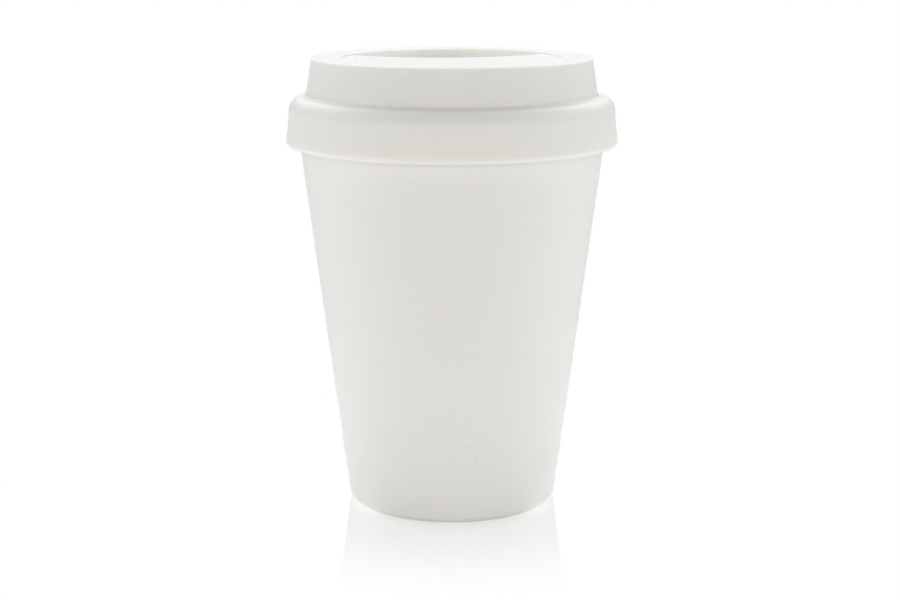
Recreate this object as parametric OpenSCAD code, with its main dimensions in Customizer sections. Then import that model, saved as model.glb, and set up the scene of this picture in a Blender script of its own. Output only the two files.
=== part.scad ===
// Reusable coffee cup: a tapered cup moulded in one piece, and a push-on drinking lid moulded in one piece.
// +Z is up and the axis of the cup is the Z axis. The origin is on that axis, on the surface the cup stands on.
// The drinking side of the lid faces +Y. All sizes are in millimetres.

/* [Cup] */
// Height of the cup alone, from the surface it stands on to the top of its rim
cup_h = 112.8; // [90:0.1:150]
// Radius of the outer wall at the foot, before the foot's edge is rounded
base_r = 29.1; // [24:0.1:33]
// Radius of the outer wall at the height of the rim
mouth_r = 43.66; // [41:0.01:50]
// Thickness of the wall, square to its surface
cup_wall = 2; // [1.4:0.1:2.6]
// Thickness of the floor
floor_t = 2.4; // [1.6:0.1:4]
// Rounding of the outer edge of the foot
foot_edge_r = 2.6; // [1:0.1:4]
// Rounding between the floor and the wall, inside
floor_edge_r = 4; // [1:0.1:8]
// Width of the flat ring that the cup stands on
foot_ring_w = 5; // [3:0.1:9]
// How far the middle of the underside is raised inside that ring
foot_recess_h = 1.2; // [0.6:0.1:2.5]

/* [Lid skirt and shoulder] */
// Thickness of the lid's walls
lid_wall = 1.3; // [1:0.1:1.8]
// Thickness of the lid over the rim of the cup
seat_t = 2; // [1.6:0.1:3]
// Width of the shoulder, from the foot of the crown to the outer face of the skirt
shoulder_w = 4.86; // [4.8:0.01:6]
// Width of the rounding of the shoulder's outer edge
shoulder_edge_w = 3.8; // [3:0.1:3.8]
// Height of the rounding of the shoulder's outer edge
shoulder_edge_h = 4.5; // [3:0.1:4.6]
// How far the skirt reaches down past the rim of the cup
skirt_reach = 11.4; // [8:0.1:16]
// How far the skirt flares out at its lower edge
skirt_flare = 0.75; // [0.3:0.05:1.2]
// Height of the rounding of the skirt's lower edge
skirt_edge_h = 1.2; // [0.6:0.1:1.8]
// Width of the rounding of the skirt's lower edge
skirt_edge_w = 1.6; // [0.8:0.1:1.6]

/* [Lid crown] */
// Height of the crown above the shoulder
crown_h = 10.5; // [8:0.1:16]
// How far the crown leans in between its foot and its top
crown_lean = 1.55; // [0.5:0.05:3]
// Rounding between the shoulder and the crown's foot
crown_foot_edge_r = 1; // [0.3:0.1:1]
// Rounding of the crown's top edge
crown_edge_r = 0.7; // [0.3:0.1:1.2]
// Width of the flat ring around the top
top_ring_w = 8.5; // [7:0.1:11]
// Rounding of the inner edge of that ring
lip_edge_r = 0.3; // [0.1:0.05:0.45]
// How far the platform inside the ring lies below it
platform_drop = 0.5; // [0.5:0.05:1.2]

/* [Drip groove] */
// Distance from the ring's inner edge to the middle of the groove
groove_inset = 3.3; // [2:0.1:5]
// Width of the groove
groove_w = 2.4; // [1.5:0.1:3]
// Depth of the groove
groove_d = 0.4; // [0.2:0.05:0.6]
// Angle that the groove runs to each side of the front
groove_half_angle = 104; // [60:1:112]

/* [Well and holes] */
// Length of the well from its front edge to the ring
well_len = 27.4; // [24:0.1:34]
// Radius of the curve of the well's front edge
well_front_r = 38.3; // [34:0.1:60]
// Depth of the well below the ring at the drinking side
well_depth = 5.6; // [5:0.1:9]
// Slope of the well's floor, down towards the drinking side
well_slope = 3; // [1:0.1:5]
// Length of the drinking slot
sip_l = 14; // [9:0.1:16]
// Width of the drinking slot
sip_w = 5; // [4.6:0.1:6]
// Distance from the drinking slot to the wall of the well behind it
sip_margin = 2.2; // [1.4:0.1:4]
// Radius of the air hole
vent_r = 0.9; // [0.6:0.1:1.5]
// Distance from the air hole's centre to the front edge of the well
vent_margin = 4; // [2.5:0.1:6]

/* [Fit] */
// Clearance between the lid and the rim that it sits over
fit_gap = 0.3; // [0.2:0.05:0.4]
// How far the lid's inner collar reaches into the mouth of the cup
collar_reach = 6; // [3:0.1:10]

/* [Hidden] */

$fn = 96;
// Steps in a rounding of the section, and in the flare of the skirt
round_steps = 10;
flare_steps = 8;
// How fast the flare grows towards the lower edge
flare_power = 1.6;
// Chamfer inside the skirt's lower edge and rounding of the collar's lower edge
lead_in = 0.45;
// Distance by which a cutting shape runs past what it cuts
past = 20;

// Lean of the cup's wall from upright, and the radius its outer face gains with each millimetre of height
wall_gain = (mouth_r - base_r) / cup_h;
wall_lean = atan(wall_gain);
// Radius of the full round on the rim, and the centre of that round
rim_round_r = cup_wall / 2;
rim_centre_z = cup_h - rim_round_r;
rim_centre_r = outer_r(rim_centre_z) - rim_round_r / cos(wall_lean);
floor_z = foot_recess_h + floor_t;

// Heights of the lid
shoulder_z = cup_h + fit_gap + seat_t;
top_z = shoulder_z + crown_h;
platform_z = top_z - platform_drop;
skirt_z = cup_h - skirt_reach;
collar_z = cup_h - collar_reach;
// Radii of the lid
skirt_in_r = mouth_r + fit_gap;
skirt_r = skirt_in_r + lid_wall;
crown_foot_r = skirt_r - shoulder_w;
crown_top_r = crown_foot_r - crown_lean;
crown_lean_angle = atan(crown_lean / crown_h);
lip_r = crown_top_r - top_ring_w;
// Place of the well's curved front edge
well_front_y = lip_r - well_len;
well_centre_y = well_front_y + well_front_r;

function outer_r(z) = base_r + wall_gain * z;
function inner_r(z) = outer_r(z) - cup_wall / cos(wall_lean);
function collar_r(z) = inner_r(z) - fit_gap;

// Points of an arc with the given centre, half width and half height, from one angle to another
function arc(c, rx, ry, a0, a1, n = round_steps) =
    [for (i = [0:n]) let (a = a0 + (a1 - a0) * i / n) [c[0] + rx * cos(a), c[1] + ry * sin(a)]];

// Arc that rounds the corner between a level face at height z and the leaning wall that meets it at radius r
function foot_arc(r, z, round_r) =
    arc([r - round_r * tan((90 - wall_lean) / 2), z + round_r], round_r, round_r, -90, -wall_lean);

// The cup's section: underside, foot, outer wall, rim, inner wall and floor
module cup() {
    foot_r = base_r - foot_edge_r * tan((90 - wall_lean) / 2);
    foot_in_r = foot_r - foot_ring_w;
    color([0.93, 0.925, 0.91])
    rotate_extrude()
    polygon(concat(
        [[0, foot_recess_h], [foot_in_r - foot_recess_h, foot_recess_h], [foot_in_r, 0]],
        foot_arc(base_r, 0, foot_edge_r),
        arc([rim_centre_r, rim_centre_z], rim_round_r, rim_round_r, -wall_lean, 180 - wall_lean, 2 * round_steps),
        [for (i = [round_steps:-1:0]) foot_arc(inner_r(floor_z), floor_z, floor_edge_r)[i]],
        [[0, floor_z]]
    ));
}

// The lid's turned section: platform, ring, crown, shoulder and skirt outside, then skirt, rim channel,
// collar and crown inside
module lid_shell() {
    ring_under_z = top_z - lid_wall;
    web_z = shoulder_z - lid_wall;
    step_r = lip_r + lid_wall;
    flare_top_z = shoulder_z - shoulder_edge_h;
    flare_end_z = skirt_z + skirt_edge_h;
    skirt_end_r = skirt_r + skirt_flare;
    channel_r = rim_round_r + fit_gap;
    // The crown's top edge and foot are rounded between its leaning wall and a level face
    crown_edge_c = [crown_top_r - crown_edge_r / cos(crown_lean_angle) + crown_edge_r * tan(crown_lean_angle),
                    top_z - crown_edge_r];
    crown_foot_c = [crown_foot_r + crown_foot_edge_r * tan((90 - crown_lean_angle) / 2),
                    shoulder_z + crown_foot_edge_r];
    rotate_extrude()
    polygon(concat(
        [[0, platform_z], [lip_r, platform_z]],
        arc([lip_r + lip_edge_r, top_z - lip_edge_r], lip_edge_r, lip_edge_r, 180, 90),
        arc(crown_edge_c, crown_edge_r, crown_edge_r, 90, crown_lean_angle),
        arc(crown_foot_c, crown_foot_edge_r, crown_foot_edge_r, 180 + crown_lean_angle, 270),
        arc([skirt_r - shoulder_edge_w, flare_top_z], shoulder_edge_w, shoulder_edge_h, 90, 0),
        [for (i = [1:flare_steps]) let (t = i / flare_steps)
            [skirt_r + skirt_flare * pow(t, flare_power), flare_top_z + (flare_end_z - flare_top_z) * t]],
        [for (i = [1:round_steps])
            arc([skirt_end_r - skirt_edge_w, flare_end_z], skirt_edge_w, skirt_edge_h, 0, -90)[i]],
        [[skirt_in_r + lead_in, skirt_z], [skirt_in_r, skirt_z + lead_in]],
        arc([rim_centre_r, rim_centre_z], channel_r, channel_r, 0, 180 - wall_lean, 2 * round_steps),
        arc([collar_r(collar_z) - lead_in, collar_z + lead_in], lead_in, lead_in, -wall_lean, -90),
        [[collar_r(collar_z) - lid_wall, collar_z], [collar_r(web_z) - lid_wall, web_z]],
        [[crown_foot_r - lid_wall, web_z], [crown_top_r - lid_wall, ring_under_z]],
        [[step_r, ring_under_z], [step_r, platform_z - lid_wall], [0, platform_z - lid_wall]]
    ));
}

// Shape of the well, grown all round by a wall: the crescent between the ring and the curved front edge,
// from its sloping floor up to height z
module well(grow, z) {
    low_z = top_z - well_depth - grow - past;
    intersection() {
        translate([0, 0, low_z]) cylinder(r = lip_r + grow, h = z - low_z);
        translate([0, well_centre_y, low_z]) cylinder(r = well_front_r + grow, h = z - low_z);
        translate([0, lip_r, top_z - well_depth - grow])
            rotate([-well_slope, 0, 0])
            translate([-lip_r - past, -2 * lip_r - past, 0])
            cube([2 * (lip_r + past), 3 * lip_r + 2 * past, past]);
    }
}

// Drip groove in the platform: part of a ring, with round ends
module drip_groove() {
    groove_r = lip_r - groove_inset;
    round_r = (pow(groove_w / 2, 2) + pow(groove_d, 2)) / (2 * groove_d);
    rotate([0, 0, -90 - groove_half_angle])
        rotate_extrude(angle = 2 * groove_half_angle)
        translate([groove_r, platform_z + round_r - groove_d])
        circle(r = round_r);
}

// Drinking slot with round ends, through the floor of the well
module sip_slot() {
    end_r = sip_w / 2;
    translate([0, lip_r - sip_margin - end_r, top_z - well_depth - past / 2]) {
        translate([-sip_l / 2 + end_r, -end_r, 0]) cube([sip_l - sip_w, sip_w, past]);
        for (side = [-1, 1])
            translate([side * (sip_l / 2 - end_r), 0, 0]) cylinder(r = end_r, h = past);
    }
}

// Air hole through the floor of the well, beside its front edge
module air_hole() {
    translate([0, well_front_y + vent_margin, top_z - well_depth - past / 2]) cylinder(r = vent_r, h = past);
}

module lid() {
    color([0.94, 0.935, 0.92])
    difference() {
        union() {
            lid_shell();
            well(lid_wall, platform_z - lid_wall / 2);
        }
        well(0, platform_z + platform_drop / 2);
        drip_groove();
        sip_slot();
        air_hole();
    }
}

cup();
lid();
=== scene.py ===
import math

import bmesh
import bpy
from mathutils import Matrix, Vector
from mathutils.geometry import delaunay_2d_cdt


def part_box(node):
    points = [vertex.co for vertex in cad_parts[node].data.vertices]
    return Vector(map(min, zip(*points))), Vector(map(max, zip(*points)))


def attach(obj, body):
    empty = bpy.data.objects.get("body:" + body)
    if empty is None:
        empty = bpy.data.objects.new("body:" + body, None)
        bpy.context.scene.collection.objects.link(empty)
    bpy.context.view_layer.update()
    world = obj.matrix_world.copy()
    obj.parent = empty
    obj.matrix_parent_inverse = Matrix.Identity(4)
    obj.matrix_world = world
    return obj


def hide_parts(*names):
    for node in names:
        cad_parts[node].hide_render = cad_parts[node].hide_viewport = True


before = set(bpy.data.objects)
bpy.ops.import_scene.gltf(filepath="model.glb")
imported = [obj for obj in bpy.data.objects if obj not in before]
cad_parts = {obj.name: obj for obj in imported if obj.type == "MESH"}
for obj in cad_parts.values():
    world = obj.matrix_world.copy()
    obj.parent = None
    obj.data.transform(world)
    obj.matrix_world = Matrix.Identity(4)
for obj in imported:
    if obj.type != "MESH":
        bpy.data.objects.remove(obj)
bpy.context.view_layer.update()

# Cup body
# One thick-walled moulding of white plastic: a plain tapered body with a full round on its rim, a soft edge
# round its foot and a shallow recess in its underside. Its section is turned about the axis.
CUP_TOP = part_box("cup")[1].z
FOOT_RADIUS = 0.0291
MOUTH_RADIUS = 0.04366
CUP_WALL = 0.0020
FLOOR_THICKNESS = 0.0024
FOOT_EDGE = 0.0026
FLOOR_EDGE = 0.0040
FOOT_RING = 0.0050
FOOT_RECESS = 0.0012
FOOT_RECESS_ROUND = 0.0006
FOOT_RING_ROUND = 0.0004
# The two roundings of the rim together stay just short of its width
RIM_ROUND_OUT = CUP_WALL * 0.50
RIM_ROUND_IN = CUP_WALL * 0.49

WALL_GAIN = (MOUTH_RADIUS - FOOT_RADIUS) / CUP_TOP
WALL_LEAN = math.atan(WALL_GAIN)
INNER_OFFSET = CUP_WALL / math.cos(WALL_LEAN)
FLOOR_Z = FOOT_RECESS + FLOOR_THICKNESS


def outer_radius(z):
    """Radius of the cup's outer face at a height."""
    return FOOT_RADIUS + WALL_GAIN * z


def turning_tree():
    """Geometry nodes that round the corners of a section and turn it about Z into a closed skin."""
    tree = bpy.data.node_groups.new("turned_section", "GeometryNodeTree")
    tree.is_modifier = True
    sockets = tree.interface
    sockets.new_socket("Section", in_out="INPUT", socket_type="NodeSocketGeometry")
    sockets.new_socket("Steps around", in_out="INPUT", socket_type="NodeSocketInt")
    sockets.new_socket("Steps in a rounding", in_out="INPUT", socket_type="NodeSocketInt")
    sockets.new_socket("Path radius", in_out="INPUT", socket_type="NodeSocketFloat")
    sockets.new_socket("Finish", in_out="INPUT", socket_type="NodeSocketMaterial")
    sockets.new_socket("Skin", in_out="OUTPUT", socket_type="NodeSocketGeometry")

    def node(kind, **inputs):
        made = tree.nodes.new(kind)
        for name, value in inputs.items():
            made.inputs[name].default_value = value
        return made

    def join(source, output, target, socket):
        tree.links.new(source.outputs[output], target.inputs[socket])

    given = tree.nodes.new("NodeGroupInput")
    result = tree.nodes.new("NodeGroupOutput")
    section = node("GeometryNodeMeshToCurve")
    corner = node("GeometryNodeInputNamedAttribute", Name="rounding")
    corner.data_type = "FLOAT"
    rounded = node("GeometryNodeFilletCurve")
    rounded.mode = "POLY"
    path = node("GeometryNodeCurvePrimitiveCircle")
    turned_skin = node("GeometryNodeCurveToMesh")
    welded = node("GeometryNodeMergeByDistance", Distance=1e-6)
    real = node("GeometryNodeRealizeInstances")
    finish = node("GeometryNodeSetMaterial")
    join(given, "Section", section, "Mesh")
    join(section, "Curve", rounded, "Curve")
    join(given, "Steps in a rounding", rounded, "Count")
    join(corner, "Attribute", rounded, "Radius")
    join(given, "Steps around", path, "Resolution")
    join(given, "Path radius", path, "Radius")
    join(path, "Curve", turned_skin, "Curve")
    join(rounded, "Curve", turned_skin, "Profile Curve")
    join(turned_skin, "Mesh", welded, "Geometry")
    join(welded, "Geometry", real, "Geometry")
    join(real, "Geometry", finish, "Geometry")
    join(given, "Finish", finish, "Material")
    join(finish, "Geometry", result, "Skin")
    return tree


STEPS_AROUND = 288
STEPS_IN_ROUNDING = 10
PATH_RADIUS = 0.01
SHARP_ANGLE = math.radians(32)
turning = turning_tree()


def turned(name, section, finish):
    """Plain mesh turned about Z from a section of (radius, height, rounding of the corner)."""
    mesh = bpy.data.meshes.new(name)
    points = [(radius - PATH_RADIUS, -z, 0) for radius, z, _ in section]
    mesh.from_pydata(points, [(i, i + 1) for i in range(len(points) - 1)], [])
    rounding = mesh.attributes.new("rounding", "FLOAT", "POINT")
    rounding.data.foreach_set("value", [corner for _, _, corner in section])
    piece = bpy.data.objects.new(name, mesh)
    bpy.context.scene.collection.objects.link(piece)
    lathe = piece.modifiers.new("turned", "NODES")
    lathe.node_group = turning
    values = {"Steps around": STEPS_AROUND, "Steps in a rounding": STEPS_IN_ROUNDING,
              "Path radius": PATH_RADIUS, "Finish": finish}
    for item in turning.interface.items_tree:
        if item.in_out == "INPUT" and item.name in values:
            lathe[item.identifier] = values[item.name]
    seen = piece.evaluated_get(bpy.context.evaluated_depsgraph_get())
    plain = bpy.data.meshes.new_from_object(seen)
    piece.modifiers.remove(lathe)
    piece.data = plain
    bpy.data.meshes.remove(mesh)
    return piece


def soft_shading(piece):
    """Smooth faces with crisp edges past an angle, and level normals on the large flats."""
    piece.data.shade_smooth()
    piece.data.set_sharp_from_angle(angle=SHARP_ANGLE)
    level = piece.modifiers.new("level_normals", "WEIGHTED_NORMAL")
    level.keep_sharp = True


PLASTIC_WHITE = (0.955, 0.942, 0.90)
PLASTIC_IOR = 1.49
BLEED_COLOURS = (1.0, 0.95, 0.85)
BLEED_DEPTH = 0.0012
CLOUD_SCALE, CLOUD_DETAIL = 45, 3
CLOUD_RANGE = (0.3, 0.7)
CLOUD_TONE = 0.985
SMUDGE_TONE = 0.94
SMUDGE_FADE = (0.5, 1.4)
SHEEN_SCALE, SHEEN_DETAIL = 160, 4
SHEEN_RANGE = (0.42, 0.54)
SPARK_SCALE, SPARK_DETAIL = 2600, 3
SPARK_STRENGTH = 0.25
SPARK_DEPTH = 0.00002


def moulded_plastic(name, colour, marks):
    """Matt white moulded plastic with a fine spark texture, faint clouding of its tint and of its sheen, and
    faint grey marks from handling, each given by its place and its half sizes."""
    material = bpy.data.materials.new(name)
    material.use_nodes = True
    nodes, links = material.node_tree.nodes, material.node_tree.links
    shader = nodes["Principled BSDF"]
    shader.inputs["IOR"].default_value = PLASTIC_IOR
    shader.inputs["Specular IOR Level"].default_value = 0.5
    shader.inputs["Subsurface Weight"].default_value = 1.0
    shader.inputs["Subsurface Radius"].default_value = BLEED_COLOURS
    shader.inputs["Subsurface Scale"].default_value = BLEED_DEPTH
    on_piece = nodes.new("ShaderNodeTexCoord")

    def noise(scale, detail):
        made = nodes.new("ShaderNodeTexNoise")
        made.inputs["Scale"].default_value = scale
        made.inputs["Detail"].default_value = detail
        links.new(on_piece.outputs["Object"], made.inputs["Vector"])
        return made

    clouds = noise(CLOUD_SCALE, CLOUD_DETAIL)
    tint = nodes.new("ShaderNodeValToRGB")
    tint.color_ramp.elements[0].position = CLOUD_RANGE[0]
    tint.color_ramp.elements[1].position = CLOUD_RANGE[1]
    tint.color_ramp.elements[0].color = (*[c * CLOUD_TONE for c in colour], 1)
    tint.color_ramp.elements[1].color = (*colour, 1)
    links.new(clouds.outputs["Fac"], tint.inputs["Fac"])
    stain = None
    for spot, half_size in marks:
        offset = nodes.new("ShaderNodeVectorMath")
        offset.operation = "SUBTRACT"
        offset.inputs[1].default_value = spot
        links.new(on_piece.outputs["Object"], offset.inputs[0])
        share = nodes.new("ShaderNodeVectorMath")
        share.operation = "DIVIDE"
        share.inputs[1].default_value = half_size
        links.new(offset.outputs["Vector"], share.inputs[0])
        reach = nodes.new("ShaderNodeVectorMath")
        reach.operation = "LENGTH"
        links.new(share.outputs["Vector"], reach.inputs[0])
        smudge = nodes.new("ShaderNodeMapRange")
        smudge.interpolation_type = "SMOOTHSTEP"
        smudge.inputs["From Min"].default_value = SMUDGE_FADE[0]
        smudge.inputs["From Max"].default_value = SMUDGE_FADE[1]
        smudge.inputs["To Min"].default_value = 1.0
        smudge.inputs["To Max"].default_value = 0.0
        links.new(reach.outputs["Value"], smudge.inputs["Value"])
        darkest = nodes.new("ShaderNodeMath")
        darkest.operation = "MAXIMUM"
        darkest.inputs[1].default_value = 0.0
        links.new(smudge.outputs["Result"], darkest.inputs[0])
        if stain:
            links.new(stain, darkest.inputs[1])
        stain = darkest.outputs["Value"]
    soiled = nodes.new("ShaderNodeMix")
    soiled.data_type = "RGBA"
    soiled.inputs["B"].default_value = (*[c * SMUDGE_TONE for c in colour], 1)
    links.new(stain, soiled.inputs["Factor"])
    links.new(tint.outputs["Color"], soiled.inputs["A"])
    links.new(soiled.outputs["Result"], shader.inputs["Base Color"])
    sheen = nodes.new("ShaderNodeMapRange")
    sheen.inputs["To Min"].default_value = SHEEN_RANGE[0]
    sheen.inputs["To Max"].default_value = SHEEN_RANGE[1]
    links.new(noise(SHEEN_SCALE, SHEEN_DETAIL).outputs["Fac"], sheen.inputs["Value"])
    links.new(sheen.outputs["Result"], shader.inputs["Roughness"])
    spark = nodes.new("ShaderNodeBump")
    spark.inputs["Strength"].default_value = SPARK_STRENGTH
    spark.inputs["Distance"].default_value = SPARK_DEPTH
    links.new(noise(SPARK_SCALE, SPARK_DETAIL).outputs["Fac"], spark.inputs["Height"])
    links.new(spark.outputs["Normal"], shader.inputs["Normal"])
    return material


cup_plastic = moulded_plastic("cup_plastic", PLASTIC_WHITE, [
    ((0.0011, -0.0320, 0.0226), (0.0005, 0.002, 0.0012)),
    ((0.0037, -0.0313, 0.0187), (0.0005, 0.002, 0.0017)),
    ((-0.0145, -0.0390, 0.0967), (0.0010, 0.002, 0.0003)),
])
foot_in = FOOT_RADIUS - FOOT_EDGE - FOOT_RING
cup_body = turned("cup_body", [
    (0, FOOT_RECESS, 0),
    (foot_in - FOOT_RECESS, FOOT_RECESS, FOOT_RECESS_ROUND),
    (foot_in, 0, FOOT_RING_ROUND),
    (FOOT_RADIUS, 0, FOOT_EDGE),
    (outer_radius(CUP_TOP), CUP_TOP, RIM_ROUND_OUT),
    (outer_radius(CUP_TOP) - INNER_OFFSET, CUP_TOP, RIM_ROUND_IN),
    (outer_radius(FLOOR_Z) - INNER_OFFSET, FLOOR_Z, FLOOR_EDGE),
    (0, FLOOR_Z, 0),
], cup_plastic)
cup_skin = bmesh.new()
cup_skin.from_mesh(cup_body.data)
bmesh.ops.recalc_face_normals(cup_skin, faces=cup_skin.faces)
cup_skin.to_mesh(cup_body.data)
cup_skin.free()
soft_shading(cup_body)
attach(cup_body, "cup")
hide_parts("cup")

# Lid
# One thin moulding of the same plastic, pushed over the rim: skirt, shoulder and crown are turned, and the
# recessed top has a drip groove, a crescent well for the drinker's lip, a drinking slot and an air hole.
LID_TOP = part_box("lid")[1].z
SKIRT_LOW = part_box("lid")[0].z
SKIRT_RADIUS_LOW = 0.0461
LID_WALL = 0.0013
FIT_GAP = 0.0003
SEAT_THICKNESS = 0.0020
SHOULDER_WIDTH = 0.00486
SHOULDER_EDGE_HEIGHT = 0.0045
SHOULDER_EDGE_WIDTH = 0.0038
SKIRT_EDGE = 0.0014
FLARE_POWER = 1.6
CROWN_LEAN = 0.00155
CROWN_EDGE = 0.0007
CROWN_INNER_ROUND = 0.0008
JUNCTION_ROUND = 0.0010
WEB_ROUND = 0.0005
TOP_RING = 0.0085
LIP_EDGE = 0.0003
PLATFORM_DROP = 0.0005
COLLAR_REACH = 0.0060
SMALL_EDGE = 0.0004
SHOULDER_STEPS = 15
FLARE_STEPS = 8

SHOULDER_Z = CUP_TOP + FIT_GAP + SEAT_THICKNESS
PLATFORM_Z = LID_TOP - PLATFORM_DROP
COLLAR_LOW = CUP_TOP - COLLAR_REACH
SKIRT_IN = MOUTH_RADIUS + FIT_GAP
SKIRT_RADIUS = SKIRT_IN + LID_WALL
CROWN_FOOT = SKIRT_RADIUS - SHOULDER_WIDTH
CROWN_TOP = CROWN_FOOT - CROWN_LEAN
LIP_RADIUS = CROWN_TOP - TOP_RING
STEP_RADIUS = LIP_RADIUS + LID_WALL
CHANNEL_ROUND_OUT = CUP_WALL / 2 + FIT_GAP
CHANNEL_ROUND_IN = CHANNEL_ROUND_OUT * 0.98

GROOVE_INSET = 0.0033
GROOVE_RADIUS = LIP_RADIUS - GROOVE_INSET
GROOVE_WIDTH = 0.0024
GROOVE_DEPTH = 0.0004
GROOVE_HALF_ANGLE = math.radians(104)
GROOVE_STEPS, GROOVE_END_STEPS = 170, 10
GROOVE_SHARES = (1, 0.84, 0.68, 0.52, 0.36, 0.2, 0.06)

WELL_LENGTH = 0.0274
WELL_FRONT_RADIUS = 0.0383
WELL_CENTRE_Y = LIP_RADIUS - WELL_LENGTH + WELL_FRONT_RADIUS
WELL_CORNER = 0.0030
WELL_DEPTH = 0.0056
WELL_SLOPE = math.radians(3)
WELL_EDGE = 0.0005
WELL_DRAFT = 0.0003
WELL_FLOOR_EDGE = 0.0015
WELL_RUN = WELL_EDGE + WELL_DRAFT + WELL_FLOOR_EDGE
WELL_FIRST_LINE = 0.00002
WELL_REAR_STEPS, WELL_FRONT_STEPS, WELL_CORNER_STEPS = 110, 90, 14

SLOT_LENGTH = 0.0140
SLOT_WIDTH = 0.0050
SLOT_MARGIN = 0.0022
SLOT_Y = LIP_RADIUS - SLOT_MARGIN - SLOT_WIDTH / 2
AIR_HOLE_RADIUS = 0.0009
AIR_HOLE_MARGIN = 0.0040
AIR_HOLE_Y = LIP_RADIUS - WELL_LENGTH + AIR_HOLE_MARGIN
SLOT_END_STEPS, AIR_HOLE_STEPS = 20, 32
HOLE_EDGE_SHARES = (0, 0.05, 0.15, 0.3, 0.5, 0.75, 1)
SHEET_PRECISION = 1e-8
WELD_DISTANCE = 2e-6

# Centre of the round that joins the well's two curves, and the directions of that corner from the centres of
# the curves
corner_y = ((LIP_RADIUS - WELL_CORNER) ** 2 - (WELL_FRONT_RADIUS - WELL_CORNER) ** 2 + WELL_CENTRE_Y ** 2) \
    / (2 * WELL_CENTRE_Y)
corner_x = math.sqrt((LIP_RADIUS - WELL_CORNER) ** 2 - corner_y ** 2)
rear_turn = math.atan2(corner_y, corner_x)
front_turn = math.atan2(corner_y - WELL_CENTRE_Y, corner_x)


def arc(centre, radius, start, end, steps):
    """Points of an arc, without its last one."""
    turns = (start + (end - start) * i / steps for i in range(steps))
    return [(centre[0] + radius * math.cos(t), centre[1] + radius * math.sin(t)) for t in turns]


def well_outline(inset):
    """Closed outline of the well, drawn in by a distance."""
    left, right = math.pi - rear_turn, math.pi - front_turn
    return (arc((0, 0), LIP_RADIUS - inset, rear_turn, left, WELL_REAR_STEPS)
            + arc((-corner_x, corner_y), WELL_CORNER - inset, left, right, WELL_CORNER_STEPS)
            + arc((0, WELL_CENTRE_Y), WELL_FRONT_RADIUS - inset, right, 2 * math.pi + front_turn,
                  WELL_FRONT_STEPS)
            + arc((corner_x, corner_y), WELL_CORNER - inset, front_turn, rear_turn,
                  WELL_CORNER_STEPS))


def well_place(x, y):
    """How far a point lies inside the well's outline, and how much it belongs to the front curve, 0 to 1."""
    rear = LIP_RADIUS - math.hypot(x, y)
    front = WELL_FRONT_RADIUS - math.hypot(x, y - WELL_CENTRE_Y)
    by_rear, by_front = max(WELL_CORNER - rear, 0), max(WELL_CORNER - front, 0)
    if by_rear > 0 and by_front > 0:
        return WELL_CORNER - math.hypot(by_rear, by_front), math.atan2(by_front, by_rear) / (math.pi / 2)
    return min(rear, front), float(front < rear)


def wall_height(inset, top, floor, edge, foot):
    """Height of a wall that falls from top to floor over WELL_RUN, with its edge and its foot rounded."""
    if inset <= 0:
        return top
    if inset < edge:
        return top - edge + math.sqrt(edge ** 2 - inset ** 2)
    if inset < WELL_RUN - foot:
        share = (inset - edge) / (WELL_RUN - foot - edge)
        return (top - edge) * (1 - share) + (floor + foot) * share
    if inset < WELL_RUN:
        return floor + foot - math.sqrt(foot ** 2 - (WELL_RUN - inset) ** 2)
    return floor


def slot_distance(x, y):
    """Distance from the drinking slot's outline, negative inside."""
    half = (SLOT_LENGTH - SLOT_WIDTH) / 2
    return math.hypot(max(abs(x) - half, 0), y - SLOT_Y) - SLOT_WIDTH / 2


def air_hole_distance(x, y):
    """Distance from the air hole's outline, negative inside."""
    return math.hypot(x, y - AIR_HOLE_Y) - AIR_HOLE_RADIUS


def groove_distance(x, y):
    """Distance from the middle line of the drip groove, which ends on both sides of the front."""
    turn = abs(math.atan2(x, -y))
    if turn <= GROOVE_HALF_ANGLE:
        return abs(math.hypot(x, y) - GROOVE_RADIUS)
    end = (GROOVE_RADIUS * math.sin(GROOVE_HALF_ANGLE), -GROOVE_RADIUS * math.cos(GROOVE_HALF_ANGLE))
    return math.hypot(abs(x) - end[0], y - end[1])


def sheet_height(x, y, grow):
    """Height of the recessed top at a point, or of its underside when grow is the wall's thickness."""
    top = PLATFORM_Z - grow
    groove = groove_distance(x, y) / (GROOVE_WIDTH / 2)
    if grow == 0 and groove < 1:
        top -= GROOVE_DEPTH * (1 + math.cos(math.pi * groove)) / 2
    floor = LID_TOP - WELL_DEPTH - grow + (LIP_RADIUS - y) * math.tan(WELL_SLOPE)
    inset, frontness = well_place(x, y)
    inset += grow
    front = wall_height(inset, top, floor, WELL_EDGE, WELL_FLOOR_EDGE)
    rear = wall_height(inset, top, floor, 0, WELL_FLOOR_EDGE + WELL_EDGE)
    z = front * frontness + rear * (1 - frontness)
    side = 1 if grow else -1
    for gap in (slot_distance(x, y), air_hole_distance(x, y)):
        if gap < SMALL_EDGE:
            rise = math.sqrt(max(SMALL_EDGE ** 2 - (SMALL_EDGE - max(gap, 0)) ** 2, 0))
            z += side * (SMALL_EDGE - rise)
    return z


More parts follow.
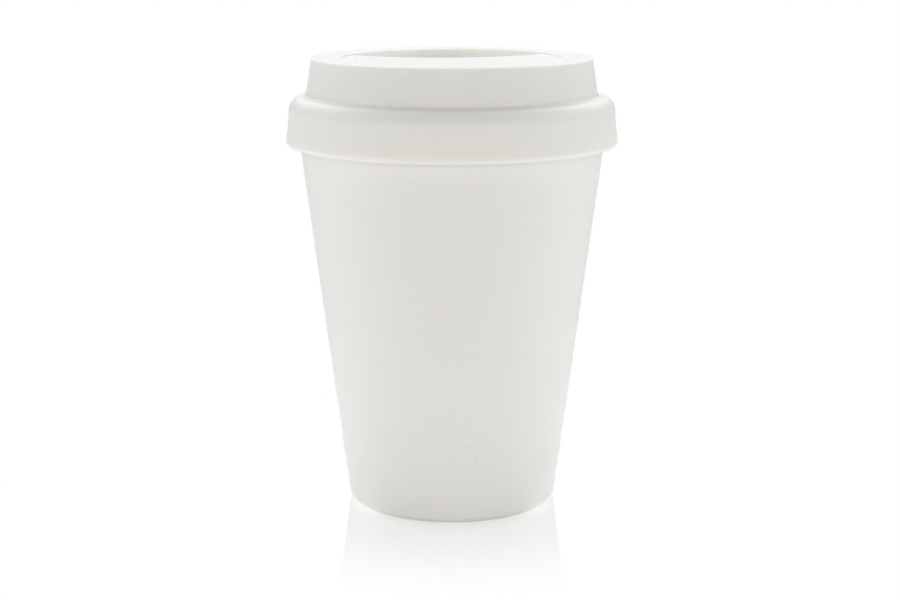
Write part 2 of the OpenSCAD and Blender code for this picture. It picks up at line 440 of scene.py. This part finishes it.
def sheet_lines(grow):
    """Closed lines that the sheet's triangles follow: its edge, the well, the groove and the holes."""
    lines = [arc((0, 0), LIP_RADIUS + grow, 0, 2 * math.pi, STEPS_AROUND)]
    edge_steps = [math.sin(math.radians(a)) for a in (15, 30, 45, 60, 75, 90)]
    insets = [WELL_FIRST_LINE, WELL_DRAFT] + [WELL_EDGE * s for s in edge_steps] + [WELL_EDGE + WELL_DRAFT]
    insets += [WELL_RUN - WELL_FLOOR_EDGE * s for s in edge_steps[:5]] + [WELL_RUN]
    lines += [well_outline(inset - grow) for inset in insets]
    if grow == 0:
        start = -math.pi / 2 - GROOVE_HALF_ANGLE
        end = -math.pi / 2 + GROOVE_HALF_ANGLE
        ends = [(GROOVE_RADIUS * math.cos(t), GROOVE_RADIUS * math.sin(t)) for t in (start, end)]
        for share in GROOVE_SHARES:
            half = GROOVE_WIDTH / 2 * share
            lines.append(arc((0, 0), GROOVE_RADIUS + half, start, end, GROOVE_STEPS)
                         + arc(ends[1], half, end, end + math.pi, GROOVE_END_STEPS)
                         + arc((0, 0), GROOVE_RADIUS - half, end, start, GROOVE_STEPS)
                         + arc(ends[0], half, start + math.pi, start + 2 * math.pi, GROOVE_END_STEPS))
    half = (SLOT_LENGTH - SLOT_WIDTH) / 2
    for share in HOLE_EDGE_SHARES:
        gap = SMALL_EDGE * share
        radius = SLOT_WIDTH / 2 + gap
        lines.append(arc((half, SLOT_Y), radius, -math.pi / 2, math.pi / 2, SLOT_END_STEPS)
                     + [(half, SLOT_Y + radius)]
                     + arc((-half, SLOT_Y), radius, math.pi / 2, 3 * math.pi / 2, SLOT_END_STEPS)
                     + [(-half, SLOT_Y - radius)])
        lines.append(arc((0, AIR_HOLE_Y), AIR_HOLE_RADIUS + gap, 0, 2 * math.pi, AIR_HOLE_STEPS))
    return lines


def add_sheet(skin, grow):
    """Adds the recessed top, or its underside, to the lid's skin."""
    points, edges = [], []
    for line in sheet_lines(grow):
        first = len(points)
        points += [Vector(p) for p in line]
        edges += [(first + i, first + (i + 1) % len(line)) for i in range(len(line))]
    flat, _, triangles, *_ = delaunay_2d_cdt(points, edges, [], 0, SHEET_PRECISION)
    corners = [skin.verts.new((p.x, p.y, sheet_height(p.x, p.y, grow))) for p in flat]
    for triangle in triangles:
        x = sum(flat[i].x for i in triangle) / 3
        y = sum(flat[i].y for i in triangle) / 3
        if slot_distance(x, y) > 0 and air_hole_distance(x, y) > 0:
            order = reversed(triangle) if grow else triangle
            skin.faces.new([corners[i] for i in order])


def bridge_hole(skin, distance):
    """Joins the two open edges of a hole through the lid with its wall."""
    open_edges = [e for e in skin.edges if len(e.link_faces) == 1]
    ring = [e for e in open_edges
            if abs(distance(*((e.verts[0].co + e.verts[1].co) / 2).xy)) < SMALL_EDGE]
    bmesh.ops.bridge_loops(skin, edges=ring)


lid_plastic = moulded_plastic("lid_plastic", PLASTIC_WHITE, [
    ((-0.0293, -0.0268, 0.1198), (0.0006, 0.001, 0.0003)),
])
collar_low_r = outer_radius(COLLAR_LOW) - INNER_OFFSET - FIT_GAP
collar_top_r = outer_radius(CUP_TOP) - INNER_OFFSET - FIT_GAP
web_z = SHOULDER_Z - LID_WALL
flare_z = SHOULDER_Z - SHOULDER_EDGE_HEIGHT
shoulder_edge = [(SKIRT_RADIUS - SHOULDER_EDGE_WIDTH * (1 - math.sin(t)),
                  flare_z + SHOULDER_EDGE_HEIGHT * math.cos(t), 0)
                 for t in (math.radians(90 * step / SHOULDER_STEPS) for step in range(SHOULDER_STEPS + 1))]
flare = [(SKIRT_RADIUS + (SKIRT_RADIUS_LOW - SKIRT_RADIUS) * t ** FLARE_POWER,
          flare_z + (SKIRT_LOW + SKIRT_EDGE - flare_z) * t, 0)
         for t in (step / FLARE_STEPS for step in range(1, FLARE_STEPS))]
lid_body = turned("lid_body", [
    (LIP_RADIUS, PLATFORM_Z, 0),
    (LIP_RADIUS, LID_TOP, LIP_EDGE),
    (CROWN_TOP, LID_TOP, CROWN_EDGE),
    (CROWN_FOOT, SHOULDER_Z, JUNCTION_ROUND),
    *shoulder_edge,
    *flare,
    (SKIRT_RADIUS_LOW, SKIRT_LOW, SKIRT_EDGE),
    (SKIRT_IN, SKIRT_LOW, SMALL_EDGE),
    (SKIRT_IN, CUP_TOP + FIT_GAP, CHANNEL_ROUND_OUT),
    (collar_top_r, CUP_TOP + FIT_GAP, CHANNEL_ROUND_IN),
    (collar_low_r, COLLAR_LOW, SMALL_EDGE),
    (collar_low_r - LID_WALL, COLLAR_LOW, SMALL_EDGE),
    (collar_top_r - LID_WALL, web_z, 0),
    (CROWN_FOOT - LID_WALL, web_z, WEB_ROUND),
    (CROWN_TOP - LID_WALL, LID_TOP - LID_WALL, CROWN_INNER_ROUND),
    (STEP_RADIUS, LID_TOP - LID_WALL, 0),
    (STEP_RADIUS, PLATFORM_Z - LID_WALL, 0),
], lid_plastic)
lid_skin = bmesh.new()
lid_skin.from_mesh(lid_body.data)
add_sheet(lid_skin, 0)
add_sheet(lid_skin, LID_WALL)
bridge_hole(lid_skin, slot_distance)
bridge_hole(lid_skin, air_hole_distance)
bmesh.ops.remove_doubles(lid_skin, verts=lid_skin.verts, dist=WELD_DISTANCE)
bmesh.ops.recalc_face_normals(lid_skin, faces=lid_skin.faces)
lid_skin.to_mesh(lid_body.data)
lid_skin.free()
soft_shading(lid_body)
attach(lid_body, "lid")
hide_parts("lid")

# Light table
# The sheet of white acrylic that the cup stands on, lit from below so that it throws no shadow, and more
# strongly beside the cup than before it. Its glossy face mirrors the foot of the cup, and past the front view
# it looks pale grey, so that the white cup stands out. It isn't part of the object.
TABLE_HALF = 4.0
TABLE_WHITE = 1.0
TABLE_GREY = 0.72
WHITE_SPREAD = 0.27
WHITE_START = -0.56
EDGE_FADE = 0.35
FRONT_FADE = (-0.10, -0.45)
GLOW_NEAR_FRONT, GLOW_NEAR_SIDE = 0.76, 1.12
GLOW_FAR_FRONT, GLOW_FAR_SIDE, GLOW_FAR_BACK = 0.33, 1.25, 0.50
GLOW_FOOT_FRONT = 0.6
FOOT_ZONE = (0.029, 0.060)
FAR_ZONE = (0.12, 0.20)
MIRROR_SHARE = 0.42
MIRROR_ZONE = (0.033, 0.088)
VIEW_TURN = math.radians(5.3)
FRONT_BEARINGS = (math.radians(35), math.radians(60))
BACK_BEARINGS = (math.radians(110), math.radians(135))
FOOT_BEARINGS = (math.radians(20), math.radians(60))

table_mesh = bpy.data.meshes.new("light_table")
table_mesh.from_pydata([(-TABLE_HALF, -TABLE_HALF, 0), (TABLE_HALF, -TABLE_HALF, 0),
                        (TABLE_HALF, TABLE_HALF, 0), (-TABLE_HALF, TABLE_HALF, 0)], [], [(0, 1, 2, 3)])
light_table = bpy.data.objects.new("light_table", table_mesh)
bpy.context.scene.collection.objects.link(light_table)
acrylic = bpy.data.materials.new("lit_acrylic")
acrylic.use_nodes = True
acrylic_nodes, acrylic_links = acrylic.node_tree.nodes, acrylic.node_tree.links
acrylic_nodes.remove(acrylic_nodes["Principled BSDF"])


def table_math(operation, *values):
    """Maths node of the table's material, from numbers and other nodes' outputs."""
    made = acrylic_nodes.new("ShaderNodeMath")
    made.operation = operation
    for socket, value in zip(made.inputs, values):
        if isinstance(value, (int, float)):
            socket.default_value = value
        else:
            acrylic_links.new(value, socket)
    return made.outputs["Value"]


def table_ramp(value, start, end, low, high):
    """Smooth change from low to high as a value goes from start to end."""
    made = acrylic_nodes.new("ShaderNodeMapRange")
    made.interpolation_type = "SMOOTHSTEP"
    acrylic_links.new(value, made.inputs["Value"])
    for name, limit in (("From Min", start), ("From Max", end), ("To Min", low), ("To Max", high)):
        if isinstance(limit, (int, float)):
            made.inputs[name].default_value = limit
        else:
            acrylic_links.new(limit, made.inputs[name])
    return made.outputs["Result"]


on_table = acrylic_nodes.new("ShaderNodeTexCoord")
to_view = acrylic_nodes.new("ShaderNodeVectorRotate")
to_view.rotation_type = "Z_AXIS"
to_view.inputs["Angle"].default_value = VIEW_TURN
acrylic_links.new(on_table.outputs["Object"], to_view.inputs["Vector"])
axes = acrylic_nodes.new("ShaderNodeSeparateXYZ")
acrylic_links.new(to_view.outputs["Vector"], axes.inputs["Vector"])
from_foot = acrylic_nodes.new("ShaderNodeVectorMath")
from_foot.operation = "LENGTH"
acrylic_links.new(on_table.outputs["Object"], from_foot.inputs[0])
away = from_foot.outputs["Value"]
bearing = table_math("ARCTAN2", table_math("ABSOLUTE", axes.outputs["X"]),
                     table_math("MULTIPLY", axes.outputs["Y"], -1.0))
near_glow = table_ramp(bearing, *FRONT_BEARINGS, GLOW_NEAR_FRONT, GLOW_NEAR_SIDE)
side_glow = table_ramp(bearing, *FRONT_BEARINGS, GLOW_FAR_FRONT, GLOW_FAR_SIDE)
far_glow = table_ramp(bearing, *BACK_BEARINGS, side_glow, GLOW_FAR_BACK)
lit = table_ramp(away, *FAR_ZONE, near_glow, far_glow)
# Painted contact shadow: close to the foot, in front, the glow that lights the cup drops to GLOW_FOOT_FRONT,
# while the camera still sees the table white there
foot_shade = table_ramp(bearing, *FOOT_BEARINGS, GLOW_FOOT_FRONT, 1.0)
lit = table_math("MULTIPLY", lit, table_ramp(away, *FOOT_ZONE, foot_shade, 1.0))
white_half = table_math("MULTIPLY", table_math("SUBTRACT", axes.outputs["Y"], WHITE_START), WHITE_SPREAD)
past_edge = table_math("SUBTRACT", table_math("ABSOLUTE", axes.outputs["X"]), white_half)
seen_white = table_math("MULTIPLY", table_ramp(past_edge, 0.0, EDGE_FADE, 1.0, 0.0),
                        table_ramp(axes.outputs["Y"], *FRONT_FADE, 1.0, 0.0))
seen = table_ramp(seen_white, 0.0, 1.0, TABLE_GREY, TABLE_WHITE)
ray_kind = acrylic_nodes.new("ShaderNodeLightPath")
glow = acrylic_nodes.new("ShaderNodeEmission")
shown = table_ramp(ray_kind.outputs["Is Camera Ray"], 0.0, 1.0, lit, seen)
acrylic_links.new(shown, glow.inputs["Strength"])
mirror = acrylic_nodes.new("ShaderNodeBsdfGlossy")
mirror.inputs["Color"].default_value = (1, 1, 1, 1)
mirror.inputs["Roughness"].default_value = 0
polish = acrylic_nodes.new("ShaderNodeMixShader")
acrylic_links.new(table_ramp(away, *MIRROR_ZONE, MIRROR_SHARE, 0.0), polish.inputs["Fac"])
acrylic_links.new(glow.outputs["Emission"], polish.inputs[1])
acrylic_links.new(mirror.outputs["BSDF"], polish.inputs[2])
acrylic_links.new(polish.outputs["Shader"], acrylic_nodes["Material Output"].inputs["Surface"])
table_mesh.materials.append(acrylic)

# Soft boxes
# White diffusers round the table: one in front, a low strip and a higher box at each side, a large pair
# behind at the sides, two behind the cup and one overhead. The wall behind the cup is plain white, and the
# others are pale grey.
BOX_DISTANCE = 1.2


def soft_box(name, turn, rise, width, height, strength, colour=(1, 1, 1)):
    """Rectangular diffuser that faces the cup, turned from the camera's side and raised, both in degrees."""
    light = bpy.data.lights.new(name, "AREA")
    light.shape = "RECTANGLE"
    light.size, light.size_y = width, height
    light.color = colour
    light.energy = strength * math.pi * width * height
    box = bpy.data.objects.new(name, light)
    turn, rise = math.radians(turn) - VIEW_TURN, math.radians(rise)
    outward = Vector((math.sin(turn) * math.cos(rise), -math.cos(turn) * math.cos(rise), math.sin(rise)))
    box.location = outward * BOX_DISTANCE
    box.rotation_euler = outward.to_track_quat("Z", "Y").to_euler()
    box.visible_camera = False
    bpy.context.scene.collection.objects.link(box)


COOL_WHITE = (0.97, 0.98, 1.0)
WARM_WHITE = (1.0, 0.96, 0.87)
soft_box("front_box", 0, 16, 1.2, 0.7, 1.85, WARM_WHITE)
for side, turn in (("left", -1), ("right", 1)):
    soft_box(f"{side}_strip", turn * 48, 14, 1.0, 0.5, 1.0)
    soft_box(f"{side}_box", turn * 72, 36, 1.0, 0.5, 0.70)
    soft_box(f"{side}_rear_box", turn * 130, 40, 1.4, 0.5, 2.0)
soft_box("back_box", 180, 36, 1.6, 0.6, 1.3, COOL_WHITE)
soft_box("high_back_box", 180, 62, 1.4, 0.5, 2.7, COOL_WHITE)
soft_box("top_box", 180, 88, 0.9, 0.9, 0.5, COOL_WHITE)

BACK_WALL, SIDE_WALL = 1.0, 0.72
BACK_WALL_COSINES = (0.80, 0.94)
studio = bpy.data.worlds.new("studio")
bpy.context.scene.world = studio
studio.use_nodes = True
studio_nodes, studio_links = studio.node_tree.nodes, studio.node_tree.links
walls = studio_nodes["Background"]
walls.inputs["Color"].default_value = (1, 1, 1, 1)
seen_by = studio_nodes.new("ShaderNodeLightPath")
sight = studio_nodes.new("ShaderNodeTexCoord")
to_back_wall = studio_nodes.new("ShaderNodeVectorRotate")
to_back_wall.rotation_type = "Z_AXIS"
to_back_wall.inputs["Angle"].default_value = VIEW_TURN
sight_axes = studio_nodes.new("ShaderNodeSeparateXYZ")
wall_tone = studio_nodes.new("ShaderNodeMapRange")
wall_tone.interpolation_type = "SMOOTHSTEP"
wall_tone.inputs["From Min"].default_value = BACK_WALL_COSINES[0]
wall_tone.inputs["From Max"].default_value = BACK_WALL_COSINES[1]
wall_tone.inputs["To Min"].default_value = SIDE_WALL
wall_tone.inputs["To Max"].default_value = BACK_WALL
walls_seen = studio_nodes.new("ShaderNodeMath")
walls_seen.operation = "MULTIPLY"
wall_strength = studio_nodes.new("ShaderNodeMath")
wall_strength.operation = "MAXIMUM"
studio_links.new(sight.outputs["Generated"], to_back_wall.inputs["Vector"])
studio_links.new(to_back_wall.outputs["Vector"], sight_axes.inputs["Vector"])
studio_links.new(sight_axes.outputs["Y"], wall_tone.inputs["Value"])
studio_links.new(seen_by.outputs["Is Camera Ray"], walls_seen.inputs[0])
studio_links.new(wall_tone.outputs["Result"], walls_seen.inputs[1])
studio_links.new(walls_seen.outputs["Value"], wall_strength.inputs[0])
studio_links.new(seen_by.outputs["Is Singular Ray"], wall_strength.inputs[1])
studio_links.new(wall_strength.outputs["Value"], walls.inputs["Strength"])

# Camera
# A long lens that looks down a little on the lid, from slightly to the left of the cup's middle.
# Its frame is 900 pixels wide, and its focal length and its shift were found in those pixels.
VIEW_PITCH = math.radians(11.708)
VIEW_DISTANCE = 0.52187
VIEW_HEIGHT = 0.16509
FOCAL_PIXELS = 1879.4
SHIFT_PIXELS = -1.95
IMAGE_WIDTH = 900
SENSOR_WIDTH = 36
camera_data = bpy.data.cameras.new("camera")
camera_data.sensor_width = SENSOR_WIDTH
camera_data.lens = FOCAL_PIXELS / IMAGE_WIDTH * SENSOR_WIDTH
camera_data.shift_x = SHIFT_PIXELS / IMAGE_WIDTH
camera_data.clip_start = 0.01
camera_data.clip_end = 20
camera = bpy.data.objects.new("camera", camera_data)
camera.location = (-VIEW_DISTANCE * math.sin(VIEW_TURN), -VIEW_DISTANCE * math.cos(VIEW_TURN), VIEW_HEIGHT)
camera.rotation_euler = (math.pi / 2 - VIEW_PITCH, 0, -VIEW_TURN)
bpy.context.scene.collection.objects.link(camera)
bpy.context.scene.camera = camera
bpy.context.scene.view_settings.view_transform = "Standard"
# Light goes on between the white walls of the recess and inside the plastic for many bounces
bpy.context.scene.cycles.diffuse_bounces = 12
bpy.context.scene.cycles.max_bounces = 16
